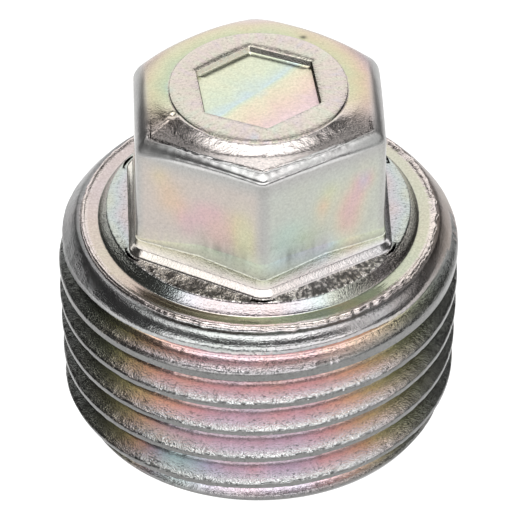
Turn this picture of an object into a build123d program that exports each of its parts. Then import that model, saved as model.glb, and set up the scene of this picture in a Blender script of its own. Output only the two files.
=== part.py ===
from build123d import *
from math import atan, ceil, cos, degrees, radians, tan
import os

# Taper screw plug, one solid: a forged hexagon head above a collar and a threaded taper shank.
# Sizes are in millimetres. The origin is the middle of the bottom face, Z points up to the
# head, and one corner of the hexagon points to the front, along -Y. The widths add up from
# the head outwards to the thread, which comes out at the 1/2 inch pipe size.

# Hexagon head
head_across_flats = 12.4
head_corner_radius = 0.6
head_height = 7.42  # collar top to the foot of the raised face
crown_drop = 0.75  # fall of the domed crown from the raised face to the corners
crown_slope = 6  # slope of the crown where it leaves the raised face
crown_edge_radius = 0.45
foot_fillet = 0.3

# Raised face on the crown, and the shallow hexagon struck into it
face_diameter = 8.95
face_height = 0.12
mark_across_flats = 5.78
mark_depth = 0.3
mark_turn = 5.8  # the struck hexagon isn't in line with the head

# Collar and shoulder
collar_ledge = 0.6  # from the corners of the head to the edge of the collar
collar_wall_width = 0.44
collar_height = 0.58
ring_width = 0.66  # the flat ring round the collar
rim_width = 1.36  # from the flat ring to the threaded body
rim_slope = 51
rim_rounding = 0.8
rim_foot_rounding = 0.5

# Shank
shank_height = 11.2  # bottom face to flat ring
lead_in_width = 0.79
lead_in_slope = 30  # from upright

# Thread: 55 degree taper pipe thread, 14 turns to the inch
pitch = 1.814
thread_taper = 1 / 16  # growth of the diameter for each unit of height
groove_angle = 55
groove_depth = 1.10
crest_width = 0.37
crest_trim = 0.14  # the plain body cuts the uppermost crests off this low
runout_drop = 2.32  # the groove starts to come out this far below the flat ring
runout_rise = 2.0  # and is out of the body this much higher
thread_turn = 121  # where the groove starts, turned about Z

# Worked out from the sizes above
head_reach = (head_across_flats / 2 - head_corner_radius) / cos(radians(30)) + head_corner_radius
collar_top_radius = head_reach + collar_ledge
collar_foot_radius = collar_top_radius + collar_wall_width
ring_radius = collar_foot_radius + ring_width
body_radius = ring_radius + rim_width
rim_corner_radius = ring_radius + rim_rounding * tan(radians(rim_slope / 2))
rim_foot = shank_height - (body_radius - rim_corner_radius) * tan(radians(rim_slope))
collar_top = shank_height + collar_height
face_foot = collar_top + head_height
plug_height = face_foot + face_height


def crest_radius(height):
    """Radius over full crests at a height above the bottom face."""
    return body_radius + crest_trim - (shank_height - height) * thread_taper / 2


# Groove: it starts one pitch below the plug, and comes out of the body just below the rim
steps_per_turn = 4
step_rise = pitch / steps_per_turn
groove_start = -pitch
runout_start = shank_height - runout_drop
step_count = ceil((runout_start + runout_rise - groove_start) / step_rise)
half_groove = tan(radians(groove_angle / 2))
cutter_overrun = 0.1  # how far the cutter stands out past the crests
mouth = (pitch - crest_width) / 2
cutter_mouth = mouth + cutter_overrun * half_groove
cutter_root = mouth - groove_depth * half_groove


def root_radius(height):
    """Radius at the bottom of the groove at a height above the bottom face."""
    runout = max(0, height - runout_start) / runout_rise
    lift = (groove_depth + crest_trim) * runout**2
    return crest_radius(height) - groove_depth + lift


def groove_helix(step):
    """One step of the line that the bottom of the groove follows, turned to its place."""
    foot = groove_start + step * step_rise
    climb = atan((root_radius(foot + step_rise) - root_radius(foot)) / step_rise)
    helix = Helix(
        pitch=pitch / cos(climb),
        height=step_rise,
        radius=root_radius(foot),
        cone_angle=degrees(climb),
    )
    return Pos(0, 0, foot) * Rot(0, 0, 360 * step / steps_per_turn) * helix.edge()


groove_path = Wire([groove_helix(step) for step in range(step_count)])

with BuildPart() as shank:
    # Turned blank with the collar, the flat ring and the rim
    lead_in_top = lead_in_width / tan(radians(lead_in_slope))
    trim_height = shank_height - 2 * crest_trim / thread_taper
    with BuildSketch(Plane.XZ) as turned_profile:
        with BuildLine():
            Polyline(
                (0, 0),
                (crest_radius(lead_in_top) - lead_in_width, 0),
                (crest_radius(lead_in_top), lead_in_top),
                (body_radius, trim_height),
                (body_radius, rim_foot),
                (rim_corner_radius, shank_height),
                (collar_foot_radius, shank_height),
                (collar_top_radius, collar_top),
                (0, collar_top),
                close=True,
            )
        make_face()
        corners = turned_profile.vertices()
        fillet(corners.sort_by_distance((rim_corner_radius, shank_height))[0], rim_rounding)
        corners = turned_profile.vertices()
        fillet(corners.sort_by_distance((body_radius, rim_foot))[0], rim_foot_rounding)
    revolve(axis=Axis.Z)

    # Thread groove
    start_root = root_radius(groove_start)
    start_mouth = start_root + groove_depth + cutter_overrun
    with BuildSketch(Plane.XZ) as groove_profile:
        with BuildLine():
            Polyline(
                (start_root, groove_start - cutter_root),
                (start_mouth, groove_start - cutter_mouth),
                (start_mouth, groove_start + cutter_mouth),
                (start_root, groove_start + cutter_root),
                close=True,
            )
        make_face()
    sweep(path=groove_path, is_frenet=True, mode=Mode.SUBTRACT)

with BuildPart() as screw_plug:
    # Hexagon head, standing on the collar
    with BuildSketch(Plane.XY.offset(collar_top)) as head_section:
        RegularPolygon(head_across_flats / 2, 6, major_radius=False, rotation=30)
        fillet(head_section.vertices(), head_corner_radius)
    extrude(amount=head_height)

    # Crown: domed from the raised face out to the corners, with rounded edges
    crown_foot = face_foot - crown_drop
    with BuildSketch(Plane.XZ) as crown_section:
        with BuildLine():
            Polyline(
                (head_reach, crown_foot),
                (head_reach, collar_top),
                (0, collar_top),
                (0, face_foot),
                (face_diameter / 2, face_foot),
            )
            TangentArc(
                (face_diameter / 2, face_foot),
                (head_reach, crown_foot),
                tangent=(1, -tan(radians(crown_slope))),
            )
        make_face()
    revolve(axis=Axis.Z, mode=Mode.INTERSECT)
    crown_face = screw_plug.faces().sort_by(Axis.Z)[-2]
    fillet(crown_face.edges().sort_by(Axis.Z)[:-1], crown_edge_radius)

    # Raised face on the crown
    with BuildSketch(Plane.XY.offset(face_foot)):
        Circle(face_diameter / 2)
    extrude(amount=face_height)

    # Shallow hexagon struck into the raised face
    with BuildSketch(Plane.XY.offset(plug_height)):
        RegularPolygon(
            mark_across_flats / 2, 6, major_radius=False, rotation=30 + mark_turn
        )
    extrude(amount=-mark_depth, mode=Mode.SUBTRACT)

    # Shank below the head, with a small fillet where the flats meet the collar
    add(shank.part, rotation=(0, 0, thread_turn))
    collar_edges = screw_plug.edges().filter_by_position(Axis.Z, collar_top, collar_top)
    fillet(collar_edges.sort_by(SortBy.LENGTH)[:-1], foot_fillet)

screw_plug.part.label = "screw_plug"

os.makedirs("parts", exist_ok=True)
export_step(screw_plug.part, "parts/screw_plug.step")
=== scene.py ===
import math

import bmesh
import bpy
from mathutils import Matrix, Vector, noise


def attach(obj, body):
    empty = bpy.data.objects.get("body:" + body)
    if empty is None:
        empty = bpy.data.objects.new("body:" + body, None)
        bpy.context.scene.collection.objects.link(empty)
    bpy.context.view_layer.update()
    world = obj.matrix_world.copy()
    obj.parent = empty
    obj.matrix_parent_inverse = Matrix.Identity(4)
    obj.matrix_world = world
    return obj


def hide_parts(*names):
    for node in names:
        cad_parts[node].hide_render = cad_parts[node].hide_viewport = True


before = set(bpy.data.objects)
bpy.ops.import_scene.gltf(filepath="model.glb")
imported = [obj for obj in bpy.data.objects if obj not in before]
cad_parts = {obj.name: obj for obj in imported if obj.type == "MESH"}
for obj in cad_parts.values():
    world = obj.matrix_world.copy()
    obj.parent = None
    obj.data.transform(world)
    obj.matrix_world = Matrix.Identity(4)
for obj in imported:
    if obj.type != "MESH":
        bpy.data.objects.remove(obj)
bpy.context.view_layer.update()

# Sizes of the plug are in millimetres, with heights from its bottom face
millimetre = 0.001
columns = 576  # faces once round the plug
merge_distance = 0.0005  # points closer than this become one

# Thread, whose groove runs out below the rim
pitch = 1.814
taper_per_side = 1 / 32
thread_turn = 121  # where the groove starts, turned about the axis
body_radius = 10.126
crest_trim = 0.14  # the plain body cuts the uppermost crests off this low
groove_depth = 1.10
crest_width = 0.25
half_groove = math.tan(math.radians(27.5))
runout_start = 9.35
runout_rise = 1.35
lead_in_width = 0.79
lead_in_rise = 1.37

# Rim, flat ring and collar
shank_height = 11.2
rim_start = 9.6
ring_edge = 8.76
ring_inner_radius = 8.1
collar_height = 0.58
collar_top = shank_height + collar_height

# Hexagon head, its raised face, and the hexagon struck into that
flat_distance = 6.2
corner_radius = 0.6
head_height = 7.42
face_foot = collar_top + head_height
face_radius = 4.475
face_height = 0.12
mark_distance = 2.89
mark_rounding = 0.12
mark_depth = 0.3
mark_turn = 5.8  # the struck hexagon isn't in line with the head


def smooth(low, high, value):
    """Rises smoothly from 0 at low to 1 at high."""
    share = min(1.0, max(0.0, (value - low) / (high - low)))
    return share * share * (3 - 2 * share)


def mix(a, b, share):
    return a + (b - a) * share


def mix_all(first, second, share):
    """Mixes two colours, or two finishes, number by number."""
    return tuple(mix(a, b, share) for a, b in zip(first, second))


def plan_point(angle, radius):
    """X and Y at this angle and this distance from the axis."""
    return radius * math.cos(angle), radius * math.sin(angle)


def ripple(x, y, z, size):
    """Smooth unevenness from -1 to 1, with bumps of about this size."""
    return noise.noise(Vector((x, y, z)) / size)


def rolled_sheet(levels, place, paint, climb=0.0):
    """A grid rolled round the axis, with a row of points for each level, then put in place.

    With a climb, the levels rise by that much in one turn. Each point also gets its plating: the
    colour of the film, with painted light and shade in many places, and the grain, the tool lines
    and the dullness of the surface.
    """
    sheet = bmesh.new()
    rows = len(levels) - 1
    bmesh.ops.create_grid(sheet, x_segments=columns, y_segments=rows, size=0.5)
    film = sheet.verts.layers.float_color.new("film")
    finish = sheet.verts.layers.float_color.new("finish")
    for vert in sheet.verts:
        turn = vert.co.x + 0.5
        angle = math.radians(thread_turn) + math.tau * turn
        level = levels[round((vert.co.y + 0.5) * rows)] + climb * turn
        radius, height = place(angle, level)
        vert.co = (*plan_point(angle, radius), height)
        colour, surface = paint(angle, level, radius, height)
        vert[film] = (*colour, 1)
        vert[finish] = (*surface, 1)
    return sheet


# Colours that the thin passivated film runs through as it gets thicker
film_colours = [
    (0.49, 0.58, 0.38),
    (0.60, 0.60, 0.36),
    (0.66, 0.55, 0.33),
    (0.68, 0.45, 0.34),
    (0.64, 0.41, 0.43),
    (0.50, 0.46, 0.58),
    (0.40, 0.56, 0.58),
]
bare_zinc = (0.505, 0.50, 0.483)
film_share = 0.7  # how far a film of full strength hides the zinc


def film_colour(thickness, strength, shade=1.0):
    """Colour of the plating under a film of this thickness, which repeats with each 1; shade
    scales it and carries the painted light and shade.
    """
    place = thickness % 1 * len(film_colours)
    index = int(place) % len(film_colours)
    following = (index + 1) % len(film_colours)
    film = mix_all(film_colours[index], film_colours[following], place - int(place))
    return tuple(shade * part for part in mix_all(bare_zinc, film, film_share * strength))


def bearing(angle):
    """Degrees from the front corner, from -180 to 180, to the right of it above 0."""
    return (math.degrees(angle) + 270) % 360 - 180


def between(table, value):
    """Value read off a table of rising (place, value) pairs."""
    for (low, first), (high, second) in zip(table, table[1:]):
        if value <= high:
            return mix(first, second, max(0, value - low) / (high - low))
    return table[-1][1]


def crest_radius(height):
    return body_radius + crest_trim - (shank_height - height) * taper_per_side


# Outline of the rim from the body up to the flat ring: the radius at the front, the radius at
# the sides, and the height over the ring
rim_outline = [
    (10.126, 10.126, rim_start - shank_height),
    (10.125, 10.12, -1.50),
    (10.12, 10.08, -1.32),
    (10.11, 10.02, -1.18),
    (10.08, 9.93, -1.03),
    (10.04, 9.82, -0.88),
    (9.98, 9.72, -0.74),
    (9.90, 9.62, -0.60),
    (9.80, 9.52, -0.47),
    (9.68, 9.42, -0.35),
    (9.54, 9.32, -0.24),
    (9.42, 9.24, -0.17),
    (9.31, 9.18, -0.13),
    (9.21, 9.13, -0.12),
    (9.12, 9.08, -0.14),
    (9.04, 9.02, -0.17),
    (8.98, 8.97, -0.14),
    (8.98, 8.97, -0.06),
    (8.96, 8.96, 0.01),
    (8.90, 8.90, 0.045),
    (8.83, 8.83, 0.035),
    (8.76, 8.76, 0.0),
]
rim_step = 0.115
shank_path = rim_start + rim_step * (len(rim_outline) - 1)
# Ragged lip on the edge of the ring: where it lies in the outline, and its size by the bearing
lip_foot, lip_end = 14, 21
lip_sizes = [(-180, 0.5), (-150, 0.4), (-70, 0.2), (-25, 0.55), (0, 0.9), (40, 1.2), (120, 1.2),
             (180, 0.5)]


def rim_point(angle, station):
    """Worn rim and ragged lip, at a place in the rim's outline."""
    side = bearing(angle)
    x, y = plan_point(angle, 9)
    index = min(int(station), len(rim_outline) - 2)
    share = station - index
    low, high = rim_outline[index], rim_outline[index + 1]
    beside = smooth(25, 80, abs(side))
    radius = mix(mix(low[0], low[1], beside), mix(high[0], high[1], beside), share)
    height = mix(low[2], high[2], share)
    lip = smooth(lip_foot - 1, lip_foot + 2, station) * (1 - smooth(lip_end - 2, lip_end, station))
    lip *= between(lip_sizes, side)
    ragged = ripple(x, y, 0, 0.55) + 0.7 * ripple(x, y, 3, 0.22)
    radius += lip * (0.05 + 0.10 * ragged)
    height += lip * (0.045 + 0.05 * ripple(x, y, 7, 0.4))
    worn = 1 - smooth(lip_foot - 3, lip_foot, station)
    radius += worn * 0.018 * ripple(x, y, height * 1.6, 0.5)
    return radius, shank_height + height


def blank_point(angle, path):
    """Radius and height on the turned blank, at a distance up its outline."""
    if path > rim_start:
        return rim_point(angle, min((path - rim_start) / rim_step, len(rim_outline) - 1))
    height = max(path, 0)
    lead_in = crest_radius(lead_in_rise) - lead_in_width * (1 - height / lead_in_rise)
    return min(crest_radius(height), body_radius, lead_in), height


def below_groove(angle, height):
    """How far a height is below the middle of the nearest groove, in turns of the thread."""
    turn = (math.degrees(angle) - thread_turn) / 360
    steps = height / pitch - turn
    return round(steps) - steps


def groove_radius(angle, height, x, y):
    """Radius of the thread groove's surface, with the ragged edges that threading leaves."""
    below = below_groove(angle, height)
    runout = max(0, height + below * pitch - runout_start) / runout_rise
    lift = (groove_depth + crest_trim) * runout**1.5
    half_mouth = (pitch - crest_width) / 2
    half_mouth += 0.03 * ripple(x, y, height, 0.5) + 0.018 * ripple(x, y, height, 0.2)
    cut = min(groove_depth, (half_mouth - abs(below) * pitch) / half_groove)
    cut += 0.022 * ripple(x, y, height, 0.7) + 0.012 * ripple(x, y, height, 0.25)
    return crest_radius(height) - cut + lift


def shank_point(angle, path):
    """Surface of the shank: the turned blank, or the thread groove where that is deeper."""
    radius, height = blank_point(angle, path)
    if height > shank_height - 0.15:
        return radius, height
    return min(radius, groove_radius(angle, height, *plan_point(angle, radius))), height


# Thickness of the film in the grooves, and their painted light and shade (lighter in front, darker
# at the sides), by degrees from the front
groove_shades = [(0, 0.60), (18, 0.57), (32, 0.42), (42, 0.26), (54, 0.10), (66, 0.0), (100, -0.2),
                 (140, -0.5), (180, -0.62)]
groove_painted_light = [(0, 1.52), (30, 1.42), (42, 1.15), (54, 0.56), (70, 0.33), (180, 0.33)]
# Thickness of the film on the rim, by the bearing
rim_shades = [(-180, 0.5), (-120, 0.72), (-50, 0.78), (-10, 0.85), (30, 0.65), (60, 0.5),
              (180, 0.5)]


def groove_paint(angle, height, depth, uneven):
    """Coloured film in the thread groove, greyer on its lower flank, with painted light and shade:
    lighter in front, darker at the sides, in a band on its lower flank and at its bottom.
    """
    side = bearing(angle)
    beside = abs(side + 3)
    below = below_groove(angle, height)
    inner = smooth(0.1, 0.7, depth)
    cool = 0.8 * math.exp(-((side + 30) / 12)**2) * (1 - smooth(2.5, 5.5, height))
    lower = 0.8 * smooth(0.20, 0.40, below) * (1 - smooth(25, 60, abs(side)))
    thickness = between(groove_shades, beside) + uneven - 0.005 * (height - 9)
    thickness = mix(mix(thickness, 0.95, cool), 0.84, lower)
    strength = mix(0.35, 1.0, inner) * (1 - 0.6 * smooth(50, 70, abs(side)))
    strength *= (1.2 - 0.6 * lower) * (1 - 0.5 * cool)
    # Painted light and shade: lighter in front, darker at the sides, and a little darker towards
    # the crest
    shade = between(groove_painted_light, beside) * mix(0.9, 1.0, inner)
    # Painted shade: a dark band on the lower flank, and dark at the bottom of the groove
    shade *= 1 - 0.35 * math.exp(-((below - 0.2) / 0.06)**2)
    shade *= 1 - 0.6 * smooth(0.95, 1.07, depth)
    grain = mix(1.5, 0.55, smooth(0.3, 0.9, depth)) + 0.6 * smooth(35, 60, abs(side))
    return film_colour(thickness, strength, shade), (grain, 0.25, 0.06)


def rim_paint(side, station, uneven):
    """Grey rim, darker at the sides with painted shade, and the pale ragged lip of the ring with a
    painted shadow under it.
    """
    lip = smooth(lip_foot, lip_foot + 3, station)
    flank = smooth(35, 75, abs(side))
    painted_lip_shadow = math.exp(-((station - lip_foot + 1.2) / 1.8)**2) * smooth(-70, -20, side)
    thickness = mix(between(rim_shades, side), 0.5, lip) + uneven
    strength = mix(0.22 + 0.4 * smooth(55, 85, side), 0.35, lip)
    # Painted shade: darker at the sides, and a painted shadow under the lip
    shade = mix(mix(0.95, 0.5, flank), 1.3, lip) * (1 - 0.6 * painted_lip_shadow)
    dullness = mix(mix(0.05, 0.14, flank), 0.05, lip)
    return film_colour(thickness, strength, shade), (0.6 + 0.5 * flank, 0.6, dullness)


def shank_paint(angle, path, radius, height):
    """Coloured grooves, the rim with its lip, and grey worn crests darkened with painted shade."""
    x, y = plan_point(angle, radius)
    depth = blank_point(angle, path)[0] - radius
    uneven = ripple(x, y, height, 3) * 0.10 + ripple(x, y, height, 0.9) * 0.05
    station = (path - rim_start) / rim_step
    if depth > 0.02:
        return groove_paint(angle, height, depth, uneven)
    if station > 1:
        return rim_paint(bearing(angle), station, uneven)
    # Crests: film worn off to grey, and darkened with painted shade
    return film_colour(0.78, 0.12, 0.45 + 0.6 * uneven), (0.8, 1.0, 0.10)


def shank_sheet():
    """The thread: rows of faces follow the helix, close together at the crest's edges."""
    mouth = (pitch - crest_width) / 2
    root = mouth - groove_depth * half_groove
    flank = [mix(root, mouth, share) for share in (0, 0.3, 0.6, 0.85, 0.97, 1.03)]
    half = [0] + flank
    one_pitch = half + [pitch / 2] + [pitch - offset for offset in reversed(flank)]
    turns = math.ceil(shank_path / pitch) + 1
    levels = [(turn - 1) * pitch + offset for turn in range(turns) for offset in one_pitch]
    return rolled_sheet(levels, shank_point, shank_paint, climb=pitch)


def bottom_point(angle, share):
    return shank_point(angle, 0)[0] * share, 0


def bottom_paint(angle, level, radius, height):
    x, y = plan_point(angle, radius)
    return film_colour(0.4 + 0.3 * ripple(x, y, 0, 4), 0.3, 0.95), (0.4, 0.8, 0.06)


# Flat ring and collar, from the ring's edge inwards: radius and height
collar_outline = [
    (ring_edge, shank_height),
    (8.60, shank_height),
    (8.35, shank_height),
    (8.14, shank_height),
    (8.09, shank_height + 0.02),
    (8.05, shank_height + 0.06),
    (7.95, shank_height + 0.19),
    (7.84, shank_height + 0.34),
    (7.74, shank_height + 0.48),
    (7.70, shank_height + 0.54),
    (7.65, shank_height + 0.575),
    (7.58, collar_top),
    (7.50, collar_top),
]


def collar_point(angle, level):
    return collar_outline[int(level)]


# Film on the ring and on the wall of the collar, by the bearing
ring_shades = [(-180, 0.55), (-130, 0.58), (-100, 0.52), (-70, 0.30), (-45, 0.40), (-25, 0.28),
               (-10, 0.10), (20, 0.03), (50, 0.06), (80, 0.14), (120, 0.20), (180, 0.55)]
ring_strengths = [(-180, 0.4), (-100, 0.45), (-40, 0.7), (0, 0.95), (40, 0.85), (90, 0.6),
                  (180, 0.4)]
wall_shades = [(-180, 0.9), (-90, 1.0), (-40, 0.95), (-20, 0.62), (5, 0.58), (22, 0.88),
               (34, 1.1), (48, 1.55), (90, 1.1), (180, 0.9)]


def collar_paint(angle, level, radius, height):
    """Flat ring, wall of the collar, and the edge of its top."""
    side = bearing(angle)
    x, y = plan_point(angle, radius)
    uneven = 0.06 * ripple(x, y, height, 2) + 0.03 * ripple(x, y, height, 0.5)
    if radius > ring_inner_radius:
        thickness = between(ring_shades, side) + uneven
        strength = between(ring_strengths, side)
        return film_colour(thickness, strength, mix(1.0, 0.86, strength)), (0.2, 0.8, 0.03)
    if height < collar_top - 0.02:
        thickness = between(wall_shades, side) + uneven
        beside = smooth(20, 50, abs(side + 8))
        # Painted light and shade: lighter in front, darker at the sides, where the grain is also
        # coarser
        colour = film_colour(thickness, mix(0.5, 0.25, beside), mix(1.1, 0.8, beside))
        return colour, (mix(0.45, 1.2, beside), 0.5, 0.03)
    return ledge_paint(angle, level, radius, height)


def ledge_point(angle, share):
    """Top of the collar, from its edge in to the foot of the head."""
    foot_radius = head_radius(angle, foot_outline[0][0])
    return mix(collar_outline[-1][0], foot_radius, share), collar_top


def ledge_paint(angle, level, radius, height):
    """Top of the collar, grained like a casting in front, and speckled there with painted glints
    and painted shade.
    """
    side = bearing(angle)
    x, y = plan_point(angle, radius)
    outwards = smooth(6.2, 7.6, radius)
    thickness = mix(0.58, 0.95 if abs(side) > 60 else 0.5, outwards**2)
    thickness += 0.12 * ripple(x, y, 0, 1.2)
    front = 1 - smooth(50, 75, abs(side))
    # Painted glints and painted shade, speckled over the front
    painted_glints = smooth(-0.25, 0.45, 0.7 * ripple(x, y, 0, 0.6) + 0.9 * ripple(x, y, 4, 0.16))
    shade = mix(1.0, mix(0.22, 1.5, painted_glints), front)
    return film_colour(thickness, mix(0.4, 0.12, front), shade), (mix(1.0, 2.6, front), 0.2, 0.04)


def hexagon_radius(angle, distance, rounding, turn=0.0):
    """Distance from the axis to a rounded hexagon with a corner at the front."""
    sector = math.radians(60)
    from_corner = (angle + math.pi / 2 - math.radians(turn) + sector / 2) % sector - sector / 2
    from_flat = sector / 2 - abs(from_corner)
    if distance * math.tan(from_flat) <= (distance - rounding) * math.tan(sector / 2):
        return distance / math.cos(from_flat)
    centre = (distance - rounding) / math.cos(sector / 2)
    across = centre * math.sin(from_corner)
    return centre * math.cos(from_corner) + math.sqrt(max(0, rounding**2 - across**2))


def head_radius(angle, offset=0.0):
    return hexagon_radius(angle, flat_distance + offset, corner_radius + offset)


# Foot of the head: how far it stands out from the flat, and how high over the collar
foot_outline = [
    (0.60, 0.0),
    (0.40, 0.0),
    (0.37, 0.01),
    (0.30, 0.11),
    (0.20, 0.25),
    (0.11, 0.38),
    (0.09, 0.42),
]
foot_band = 0.43  # height over the collar up to which the foot stands out
# Two faint lines cross each flat above the foot: their heights by the bearing, and outlines
line_heights = [(-180, 0.9), (-150, 1.2), (-120, 0.9), (-90, 1.2), (-60, 0.9), (-30, 1.22),
                (0, 0.97), (30, 1.22), (60, 0.85), (90, 1.2), (120, 0.9), (150, 1.2), (180, 0.9)]
step_heights = [(-180, 1.3), (-150, 1.9), (-120, 1.3), (-90, 1.8), (-60, 1.02), (-30, 1.9),
                (-8, 1.95), (12, 1.95), (30, 1.8), (60, 1.32), (90, 1.8), (120, 1.3),
                (150, 1.9), (180, 1.3)]
line_outline = [(0.062, -0.05), (0.055, 0.0), (0.03, 0.04)]
step_outline = [(0.025, -0.05), (0.004, 0.02)]

# Fall of the crown from the raised face to each corner, from the front corner round
corner_falls = [-0.05, 0.20, 1.05, 0.92, 1.20, 0.58]
# Rounded edge of the crown: how far inside the flat, as a share of its width, and the fall
edge_outline = [(0.0, 0.62), (0.025, 0.50), (0.06, 0.40), (0.12, 0.31), (0.20, 0.24),
                (0.32, 0.185), (0.48, 0.135), (0.66, 0.09), (0.84, 0.05), (1.0, 0.02)]
edge_widths = [(-180, 0.40), (-110, 0.60), (-65, 0.70), (-35, 0.42), (-20, 0.44), (0, 0.62),
               (20, 0.44), (35, 0.42), (65, 0.70), (110, 0.60), (180, 0.40)]
# Crease along the crown's front edges: how far inside the edge, and its height
crease_outline = [(0.03, -0.06), (0.06, -0.11), (0.10, -0.06), (0.14, 0.015), (0.19, 0.025),
                  (0.27, 0.0), (0.38, 0.0)]
crown_steps = 9
flat_steps = 6


def nick_and_crease(x, y):
    """A nick beside the raised face at the left, and a crease from it to the corner."""
    nick = math.exp(-((x + 4.25)**2 + (y + 1.95)**2) / 0.03)
    along = min(1, max(0, (-4.4 - x) / 1.5))
    crease = math.exp(-(y + 2.05 + 1.2 * along)**2 / 0.012) * smooth(0, 0.15, along)
    return 0.05 * crease * (1 - smooth(0.85, 1, along)) - 0.10 * nick


def crown_height(angle, radius):
    """Height of the crown, which falls unevenly from the raised face to the corners."""
    side = bearing(angle)
    place = side % 360 / 60
    before = int(place) % 6
    share = smooth(0, 1, place - int(place))
    fall = mix(corner_falls[before], corner_falls[(before + 1) % 6], share)
    outwards = max(0, radius - face_radius)
    front = 1 - smooth(48, 82, abs(side + 4))
    # In front a skirt slopes down from the raised face
    skirt = 0.085 - 0.29 * min(1, max(0, (outwards - 0.04) / 0.74))
    x, y = plan_point(angle, radius)
    uneven = 0.02 * ripple(x, y, 0, 1.3) + 0.015 * front * ripple(x, y, 0, 0.35)
    uneven += nick_and_crease(x, y)
    return face_foot + front * skirt - fall * (outwards / 2.6)**1.75 + uneven


def foot_stations(angle):
    """Foot of the head and the two lines over it: how far out from the flat, and how high."""
    side = bearing(angle)
    x, y = plan_point(angle, 6)
    line = between(line_heights, side)
    step = between(step_heights, side) + 0.05 * ripple(x, y, 0, 0.4)
    stations = list(foot_outline)
    stations += [(offset, line + rise) for offset, rise in line_outline]
    stations += [(offset, step + rise) for offset, rise in step_outline]
    return stations


def flat_point(angle, level, foot):
    """A flat from this height up to the edge of the crown, a little wavy."""
    x, y = plan_point(angle, 6)
    top = crown_height(angle, head_radius(angle)) - edge_outline[0][1]
    height = mix(foot, top, level / flat_steps)
    return head_radius(angle) + 0.012 * ripple(x, y, height, 2.2), height


def edge_point(angle, level):
    """Rounded edge of the crown, which is an even curve at the sides and behind."""
    side = bearing(angle)
    share, fall = edge_outline[level]
    plain = edge_outline[0][1] * (1 - math.sqrt(1 - (1 - share)**2))
    fall = mix(fall, plain, smooth(38, 58, abs(side)))
    radius = head_radius(angle, -between(edge_widths, side) * share)
    return radius, crown_height(angle, radius) - fall


def crease_point(angle, level):
    """Crease inside the crown's front edges, which fades out at the sides."""
    side = bearing(angle)
    x, y = plan_point(angle, 6)
    inside, rise = crease_outline[level]
    radius = head_radius(angle, -between(edge_widths, side) - inside)
    uneven = 1 + ripple(x, y, 0, 0.6) + 0.6 * ripple(x, y, 5, 0.25)
    depth = (1 - smooth(54, 70, abs(side))) * uneven
    return radius, crown_height(angle, radius) + depth * rise


def head_point(angle, level):
    """Foot, flat, rounded edge, crease and crown of the head, one after the other."""
    stations = foot_stations(angle)
    level = int(level)
    if level < len(stations):
        offset, rise = stations[level]
        return head_radius(angle, offset), collar_top + rise
    level -= len(stations) - 1
    if level <= flat_steps:
        return flat_point(angle, level, collar_top + stations[-1][1] + 0.03)
    level -= flat_steps
    if level < len(edge_outline):
        return edge_point(angle, level)
    level -= len(edge_outline)
    if level < len(crease_outline):
        return crease_point(angle, level)
    level -= len(crease_outline) - 1
    outer = head_radius(angle, -between(edge_widths, bearing(angle)) - crease_outline[-1][0])
    radius = mix(outer, face_radius + 0.02, (level / crown_steps)**0.8)
    return radius, crown_height(angle, radius)


head_levels = (len(foot_outline) + len(line_outline) + len(step_outline) + flat_steps
               + len(edge_outline) - 1 + len(crease_outline) + crown_steps)


# Patches of film on the two front flats: across, up, half sizes, thickness and strength
left_patches = [(-4.5, 16.0, 0.7, 0.9, 0.38, 0.8), (-3.7, 15.0, 0.45, 0.7, 0.66, 1.0),
                (-3.0, 15.6, 0.4, 0.6, 0.66, 0.8), (-2.4, 16.1, 0.4, 0.5, 0.62, 0.7),
                (-2.2, 14.9, 0.7, 1.0, 0.54, 0.7), (-0.9, 14.9, 0.5, 1.3, 0.06, 1.0),
                (-1.4, 15.8, 0.5, 0.7, 0.30, 0.4), (-5.0, 17.2, 0.5, 0.6, 0.20, 0.5)]
right_patches = [(1.3, 14.8, 0.9, 0.9, -0.08, 1.0), (3.0, 15.7, 0.35, 0.4, 0.62, 0.9),
                 (4.3, 14.9, 0.6, 1.1, 0.76, 0.8), (3.3, 16.5, 0.5, 0.4, 0.16, 0.9),
                 (4.7, 16.1, 0.4, 0.5, 0.78, 0.8), (5.1, 16.6, 0.4, 0.5, 0.95, 0.7),
                 (2.2, 14.0, 0.8, 0.5, 0.06, 0.6)]


def flat_film(x, z, patches):
    """Thickness and strength of the film at a place on a flat, from its soft patches."""
    total = 0.3
    weighed = total * (0.42 if x < 0 else -0.02)
    for across, up, width, tall, thickness, strength in patches:
        weight = strength * math.exp(-(((x - across) / width)**2 + ((z - up) / tall)**2))
        total += weight
        weighed += weight * thickness
    return weighed / total, min(1, total)


# Painted light and shade on the crown in front of the raised face, by the bearing
crown_painted_light = [(-180, 1.0), (-75, 0.9), (-62, 0.42), (-40, 0.36), (-28, 0.75), (-15, 1.3),
                (8, 1.35), (20, 0.95), (32, 0.5), (60, 0.38), (75, 0.9), (180, 1.0)]
# Thickness of the film at the foot of the flats, by the bearing
foot_shades = [(-180, 1.2), (-60, 1.2), (-35, 1.16), (-15, 1.10), (-2, 1.12), (8, 1.0), (20, 0.92),
               (30, 0.86), (38, 1.1), (44, 1.3), (52, 1.05), (60, 1.0), (180, 1.2)]


def foot_colour(side, rise, uneven):
    """Film across the foot of a flat, with a painted glint along the lower line and painted shade
    just above it.
    """
    thickness = between(foot_shades, side) + uneven * 0.6 - 0.12 * smooth(1.1, 1.9, rise)
    line = rise - between(line_heights, side)
    painted_glint_and_shade = math.exp(-(line / 0.03)**2) - 0.8 * math.exp(-((line - 0.05) / 0.025)**2)
    return film_colour(thickness, 0.8 - 0.5 * abs(painted_glint_and_shade), 1.0 + 0.5 * painted_glint_and_shade)


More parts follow.
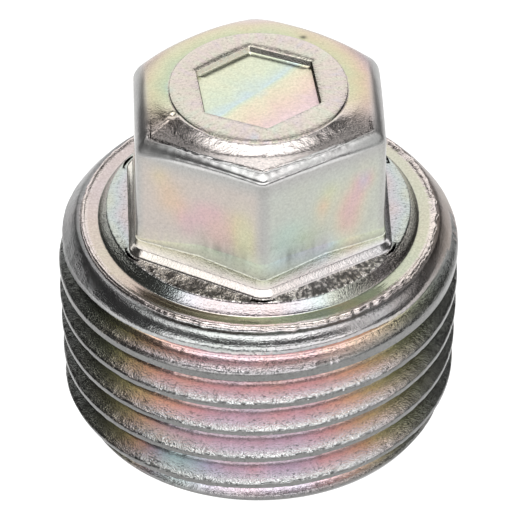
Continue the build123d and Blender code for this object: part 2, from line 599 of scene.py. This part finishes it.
def flat_colour(side, x, y, height, uneven):
    """Film on a flat above its foot, which is worn off at the corners and along the top, where
    painted shade also darkens it.
    """
    if abs(side) > 90:
        thickness, strength = 0.4 + ripple(x, y, height, 3), 0.5
    else:
        thickness, strength = flat_film(x, height, left_patches if side < 0 else right_patches)
    corner = 1 - smooth(0, 4.5, abs((side + 30) % 60 - 30))
    top = smooth(17.6, 18.2, height)
    strength *= (1 - 0.9 * corner) * (1 - top)
    # Painted shade: darker at the corners and along the top
    return film_colour(thickness + 0.4 * uneven, strength, 0.91 - 0.12 * corner - 0.10 * top)


def flat_paint(angle, radius, height, uneven):
    """A flat, with its foot below a step darkened with painted shade."""
    side = bearing(angle)
    x, y = plan_point(angle, radius)
    rise = height - collar_top
    step = between(step_heights, side)
    above = smooth(step - 0.08, step + 0.08, rise)
    low = foot_colour(side, rise, uneven)
    high = flat_colour(side, x, y, height, uneven)
    # Painted shade along the step, ragged, on the two front flats away from the front corner
    dark = 0.42 * math.exp(-((rise - step) / 0.09)**2) * (0.7 + ripple(x, y, 3, 0.3))
    dark *= smooth(3, 9, abs(side)) * (1 - smooth(24, 36, abs(side)))
    colour = tuple((1 - dark) * part for part in mix_all(low, high, above))
    return colour, (mix(0.5, 0.1, above), 0.0, 0.04)


def open_crown_paint(angle, radius, uneven):
    """Crown inside its edge: grey and grained in front, with painted light and shade there, and a
    stronger film behind.
    """
    side = bearing(angle)
    x, y = plan_point(angle, radius)
    outwards = (radius - face_radius) / 2.4
    front = 1 - smooth(50, 90, abs(side))
    thickness = 0.06 + 0.55 * outwards + uneven + 0.08 * math.cos(angle)
    strength = mix(1.1 * (1 - outwards**3), 0.25, front)
    away = smooth(0.45, 0.8, radius - face_radius)
    # A painted highlight beside the raised face, then painted light and shade by the bearing
    shade = mix(0.9, mix(1.2, between(crown_painted_light, side), away), front)
    # A small dark spot behind the raised face
    shade *= 1 - 0.8 * math.exp(-((x - 2.4)**2 + (y - 4.2)**2) / 0.03)
    dim = front * smooth(0.5, 0.9, 1.4 - shade)
    grain = mix(0.35, mix(0.7, 2.2, dim), front)
    return film_colour(mix(thickness, 0.5, front), strength, shade), (grain, 0.1, 0.04)


def crown_paint(angle, radius, uneven):
    """Grey edge of the crown, lightened in front with a painted highlight, which fades into the
    film more slowly at the sides and behind.
    """
    side = bearing(angle)
    edge_width = between(edge_widths, side)
    beside = smooth(38, 60, abs(side))
    fade_start = mix(edge_width + 0.14, 0.35 * edge_width, beside)
    fade_end = edge_width + 0.16 + 0.1 * beside
    inwards = smooth(fade_start, fade_end, head_radius(angle) - radius)
    # Painted highlight on the edge in front, less at the sides
    edge = film_colour(0.75 + uneven, 0.12, mix(1.28, 0.95, beside))
    edge_surface = (0.06, 0.1, mix(0.08, 0.26, beside))
    crown, crown_surface = open_crown_paint(angle, radius, uneven)
    return mix_all(edge, crown, inwards), mix_all(edge_surface, crown_surface, inwards)


def head_paint(angle, level, radius, height):
    """Plating of the head: foot band, flats and crown."""
    x, y = plan_point(angle, radius)
    uneven = 0.10 * ripple(x, y, height, 2.4) + 0.05 * ripple(x, y, height, 0.8)
    if height - collar_top < foot_band:
        if radius > head_radius(angle, 0.38):
            return ledge_paint(angle, level, radius, height)
        # The foot band is lightened with a painted highlight
        return film_colour(0.5 + uneven + 0.2 * math.cos(angle), 0.25, 1.35), (0.2, 0.1, 0.03)
    if head_radius(angle) - radius < 0.02:
        return flat_paint(angle, radius, height, uneven)
    return crown_paint(angle, radius, uneven)


# Film across the floor of the struck hexagon, from its left to its right
floor_shades = [(-2.5, 1.12), (-1.2, 1.02), (-0.5, 0.95), (-0.1, 0.86), (0.3, 1.22), (1.2, 1.36),
                (2.0, 1.52), (3.0, 1.58)]


def face_paint(angle, level, radius, height):
    """Speckled raised face, and the struck hexagon with bands of film across its floor."""
    x, y = plan_point(angle, radius)
    depth = face_foot + face_height - height
    if radius < face_radius - 0.5 and 0.02 < depth < mark_depth - 0.01:
        # Walls of the struck hexagon: painted light on the one at the back left, painted shade on
        # the others
        if -174 < bearing(angle) < -114:
            return film_colour(0.35, 0.4, 1.95), (0.3, 0.1, 0.5)
        return film_colour(0.3, 0.2, 0.4), (1.5, 0.1, 0.1)
    if depth < 0.2:
        uneven = ripple(x, y, 0, 0.35) + ripple(x, y, 0, 1.6)
        return film_colour(0.35 + 0.35 * uneven, 0.42, 1.06), (0.7, 0.1, 0.04)
    thickness = between(floor_shades, 0.72 * x - 0.69 * y + 0.15 * ripple(x, y, 9, 1.2))
    thickness += 0.06 * ripple(x, y, 0, 0.9) + 0.04 * ripple(x, y, 0, 0.3)
    return film_colour(thickness, 0.78, 1.12), (0.22, 0.0, 0.02)


def face_stations(angle):
    """Outline of the raised face, the struck hexagon and its floor, from the outside in."""
    top = face_foot + face_height
    edge = hexagon_radius(angle, mark_distance, mark_rounding, mark_turn)
    return [
        (face_radius + 0.02, crown_height(angle, face_radius + 0.02)),
        (face_radius - 0.01, crown_height(angle, face_radius) - 0.02),
        (face_radius - 0.03, top - 0.015),
        (face_radius - 0.06, top),
        (mix(face_radius, edge, 0.3), top),
        (mix(face_radius, edge, 0.65), top),
        (edge + 0.04, top),
        (edge + 0.01, top - 0.03),
        (edge - 0.02, top - mark_depth + 0.03),
        (edge - 0.05, top - mark_depth),
        (edge * 0.8, top - mark_depth),
        (edge * 0.5, top - mark_depth),
        (edge * 0.2, top - mark_depth),
        (0, top - mark_depth),
    ]


def face_point(angle, level):
    return face_stations(angle)[int(level)]


def plug_mesh():
    """The whole plug as one closed mesh, joined from its rolled sheets."""
    sheets = [
        rolled_sheet([0, 0.35, 0.7, 1], bottom_point, bottom_paint),
        shank_sheet(),
        rolled_sheet(range(len(collar_outline)), collar_point, collar_paint),
        rolled_sheet([0, 0.25, 0.5, 0.75, 1], ledge_point, ledge_paint),
        rolled_sheet(range(head_levels), head_point, head_paint),
        rolled_sheet(range(len(face_stations(0))), face_point, face_paint),
    ]
    whole = bmesh.new()
    for sheet in sheets:
        part = bpy.data.meshes.new("sheet")
        sheet.to_mesh(part)
        sheet.free()
        whole.from_mesh(part)
        bpy.data.meshes.remove(part)
    bmesh.ops.remove_doubles(whole, verts=whole.verts, dist=merge_distance)
    bmesh.ops.dissolve_degenerate(whole, dist=merge_distance, edges=whole.edges)
    bmesh.ops.recalc_face_normals(whole, faces=whole.faces)
    bmesh.ops.scale(whole, vec=(millimetre,) * 3, verts=whole.verts)
    for face in whole.faces:
        face.smooth = True
    mesh = bpy.data.meshes.new("plug")
    whole.to_mesh(mesh)
    whole.free()
    return mesh


def math_node(tree, operation, *values):
    """Output of a math node on these values, each a number or another node's output."""
    node = tree.nodes.new("ShaderNodeMath")
    node.operation = operation
    for socket, value in zip(node.inputs, values):
        if isinstance(value, (int, float)):
            socket.default_value = value
        else:
            tree.links.new(value, socket)
    return node.outputs[0]


def stored_colour(tree, layer):
    """Colour that the mesh holds at each point in this layer."""
    node = tree.nodes.new("ShaderNodeAttribute")
    node.attribute_name = layer
    return node.outputs["Color"]


def grains(tree, place, cells, detail):
    """Noise with this many cells to the metre."""
    texture = tree.nodes.new("ShaderNodeTexNoise")
    texture.inputs["Scale"].default_value = cells
    texture.inputs["Detail"].default_value = detail
    tree.links.new(place, texture.inputs["Vector"])
    return texture.outputs["Fac"]


def bump(tree, height, strength, depth, normal=None):
    """Bumps up to this depth, in metres, on top of a normal if there is one."""
    node = tree.nodes.new("ShaderNodeBump")
    node.inputs["Distance"].default_value = depth
    tree.links.new(strength, node.inputs["Strength"])
    tree.links.new(height, node.inputs["Height"])
    if normal:
        tree.links.new(normal, node.inputs["Normal"])
    return node.outputs["Normal"]


# Noise in the plating, in cells to the metre
fine_grain = 13000
coarse_grain = 4500
across_lines = 12000
along_lines = 500
shade_changes = 8500
pit_grain = 6500
smear_grain = 900
# Depths of the bumps, in metres
grain_depth = 0.000017
line_depth = 0.00001


def tool_line_noise(tree, place):
    """Tool lines round the plug: fine across them, long along them."""
    axes = tree.nodes.new("ShaderNodeSeparateXYZ")
    tree.links.new(place, axes.inputs[0])
    x, y, z = axes.outputs
    squares = [math_node(tree, "MULTIPLY", axis, axis) for axis in (x, y)]
    reach = math_node(tree, "SQRT", math_node(tree, "ADD", *squares))
    rows = tree.nodes.new("ShaderNodeCombineXYZ")
    tree.links.new(math_node(tree, "MULTIPLY", reach, across_lines), rows.inputs[0])
    tree.links.new(math_node(tree, "MULTIPLY", z, across_lines), rows.inputs[1])
    tree.links.new(math_node(tree, "MULTIPLY", x, along_lines), rows.inputs[2])
    lines = tree.nodes.new("ShaderNodeTexNoise")
    lines.noise_dimensions = "4D"
    lines.inputs["Scale"].default_value = 1
    lines.inputs["Detail"].default_value = 1
    tree.links.new(rows.outputs[0], lines.inputs["Vector"])
    tree.links.new(math_node(tree, "MULTIPLY", y, along_lines), lines.inputs["W"])
    return lines.outputs["Fac"]


def plating_normal(tree, place, grain, tool_lines):
    """Bumps of the grain in the steel, with the tool lines over them."""
    coarse = math_node(tree, "MULTIPLY", grains(tree, place, coarse_grain, 2), 0.8)
    both = math_node(tree, "ADD", grains(tree, place, fine_grain, 1), coarse)
    normal = bump(tree, both, grain, grain_depth)
    return bump(tree, tool_line_noise(tree, place), tool_lines, line_depth, normal)


def plating_colour(tree, place, grain):
    """Film, with the painted light and shade that its stored colour carries, small changes of
    shade, and dark specks where the grain is coarse.
    """
    shade = math_node(tree, "MULTIPLY_ADD", grains(tree, place, shade_changes, 3), 0.5, 0.75)
    pits = tree.nodes.new("ShaderNodeMapRange")
    tree.links.new(grains(tree, place, pit_grain, 3), pits.inputs["Value"])
    pits.inputs["From Min"].default_value = 0.58
    pits.inputs["From Max"].default_value = 0.70
    pit_share = math_node(tree, "MULTIPLY", grain, 0.35)
    dark = math_node(tree, "MULTIPLY", pits.outputs["Result"], pit_share)
    level = math_node(tree, "MULTIPLY", shade, math_node(tree, "SUBTRACT", 1, dark))
    tint = tree.nodes.new("ShaderNodeVectorMath")
    tint.operation = "SCALE"
    tree.links.new(stored_colour(tree, "film"), tint.inputs[0])
    tree.links.new(level, tint.inputs["Scale"])
    return tint.outputs["Vector"]


def plated_steel():
    """Zinc plating with a thin iridescent film, over grain and tool lines in the steel."""
    material = bpy.data.materials.new("plated_steel")
    material.use_nodes = True
    tree = material.node_tree
    shader = tree.nodes["Principled BSDF"]
    shader.inputs["Metallic"].default_value = 1
    place = tree.nodes.new("ShaderNodeTexCoord").outputs["Object"]
    split = tree.nodes.new("ShaderNodeSeparateColor")
    tree.links.new(stored_colour(tree, "finish"), split.inputs["Color"])
    grain, tool_lines, dullness = split.outputs
    smears = math_node(tree, "MULTIPLY", grains(tree, place, smear_grain, 4), 0.16)
    roughness = math_node(tree, "ADD", math_node(tree, "ADD", smears, dullness), 0.08)
    tree.links.new(roughness, shader.inputs["Roughness"])
    tree.links.new(plating_colour(tree, place, grain), shader.inputs["Base Color"])
    tree.links.new(plating_normal(tree, place, grain, tool_lines), shader.inputs["Normal"])
    return material


def make_plug():
    plug = bpy.data.objects.new("plug", plug_mesh())
    bpy.context.scene.collection.objects.link(plug)
    plug.data.materials.append(plated_steel())
    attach(plug, "root")
    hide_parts("screw_plug")
    return plug


def towards(azimuth, elevation):
    """Direction out from the plug, by degrees to the right of its front and degrees up."""
    turned, raised = math.radians(azimuth), math.radians(elevation)
    return Vector((
        math.sin(turned) * math.cos(raised),
        -math.cos(turned) * math.cos(raised),
        math.sin(raised),
    ))


def lobe(tree, direction, azimuth, elevation, inner, outer, strength):
    """Light from one part of the studio: full within the inner angle, none past the outer."""
    dot = tree.nodes.new("ShaderNodeVectorMath")
    dot.operation = "DOT_PRODUCT"
    tree.links.new(direction, dot.inputs[0])
    dot.inputs[1].default_value = towards(azimuth, elevation)
    fade = tree.nodes.new("ShaderNodeMapRange")
    fade.interpolation_type = "SMOOTHSTEP"
    tree.links.new(dot.outputs["Value"], fade.inputs["Value"])
    fade.inputs["From Min"].default_value = math.cos(math.radians(outer))
    fade.inputs["From Max"].default_value = math.cos(math.radians(inner))
    fade.inputs["To Max"].default_value = strength
    return fade.outputs["Result"]


# Lights of the studio: azimuth, elevation, inner and outer angle, and strength
studio_lights = [
    (0, 88, 12, 27, 2.9),
    (-100, 72, 6, 20, 1.6),
    (100, 72, 6, 20, 1.6),
    (-44, 25, 9, 17, 2.0),
    (-22, 26, 9, 17, 2.0),
    (0, 26, 9, 17, 2.1),
    (22, 26, 9, 17, 2.0),
    (44, 25, 9, 17, 2.0),
    (180, 25, 22, 36, 1.35),
    (82, 42, 10, 24, 1.1),
]
light_between = 0.05
floor_reach = 0.6  # half the width of the floor, in metres


def studio_world():
    """Soft lights over and round the plug in a dim room, for the metal to mirror."""
    world = bpy.data.worlds.new("studio")
    bpy.context.scene.world = world
    world.use_nodes = True
    tree = world.node_tree
    background = tree.nodes["Background"]
    direction = tree.nodes.new("ShaderNodeTexCoord").outputs["Generated"]
    brightest = light_between
    for light in studio_lights:
        brightest = math_node(tree, "MAXIMUM", lobe(tree, direction, *light), brightest)
    tree.links.new(brightest, background.inputs["Strength"])
    background.inputs["Color"].default_value = (1, 1, 1, 1)


def glowing_paper():
    """Pale paper that glows white to the camera and in the plug's reflections."""
    material = bpy.data.materials.new("pale_floor")
    material.use_nodes = True
    tree = material.node_tree
    tree.nodes.remove(tree.nodes["Principled BSDF"])
    paper = tree.nodes.new("ShaderNodeBsdfDiffuse")
    paper.inputs["Color"].default_value = (0.3, 0.3, 0.3, 1)
    glow = tree.nodes.new("ShaderNodeEmission")
    glow.inputs["Color"].default_value = (1, 1, 1, 1)
    rays = tree.nodes.new("ShaderNodeLightPath").outputs
    seen = math_node(tree, "MAXIMUM", rays["Is Camera Ray"], rays["Is Glossy Ray"])
    seen = math_node(tree, "MAXIMUM", seen, rays["Is Transmission Ray"])
    tree.links.new(seen, glow.inputs["Strength"])
    both = tree.nodes.new("ShaderNodeAddShader")
    tree.links.new(paper.outputs[0], both.inputs[0])
    tree.links.new(glow.outputs[0], both.inputs[1])
    tree.links.new(both.outputs[0], tree.nodes["Material Output"].inputs["Surface"])
    return material


def pale_floor():
    sheet = bmesh.new()
    bmesh.ops.create_grid(sheet, x_segments=1, y_segments=1, size=floor_reach)
    mesh = bpy.data.meshes.new("floor")
    sheet.to_mesh(mesh)
    sheet.free()
    mesh.materials.append(glowing_paper())
    floor = bpy.data.objects.new("floor", mesh)
    bpy.context.scene.collection.objects.link(floor)


def photo_camera():
    """A long lens, looking down on the front corner of the head."""
    azimuth = -1.93
    elevation = 39.42
    distance = 0.2809
    aim_height = 0.00852
    aim_sideways = -0.00017
    turned = math.radians(azimuth)
    right = Vector((math.cos(turned), math.sin(turned), 0))
    back = towards(azimuth, elevation)
    data = bpy.data.cameras.new("camera")
    data.lens = 390
    data.sensor_width = 36
    data.clip_start = 0.01
    camera = bpy.data.objects.new("camera", data)
    bpy.context.scene.collection.objects.link(camera)
    camera.location = right * aim_sideways + Vector((0, 0, aim_height)) + back * distance
    camera.rotation_euler = back.to_track_quat("Z", "Y").to_euler()
    bpy.context.scene.camera = camera


make_plug()
pale_floor()
studio_world()
photo_camera()
bpy.context.scene.view_settings.view_transform = "Standard"
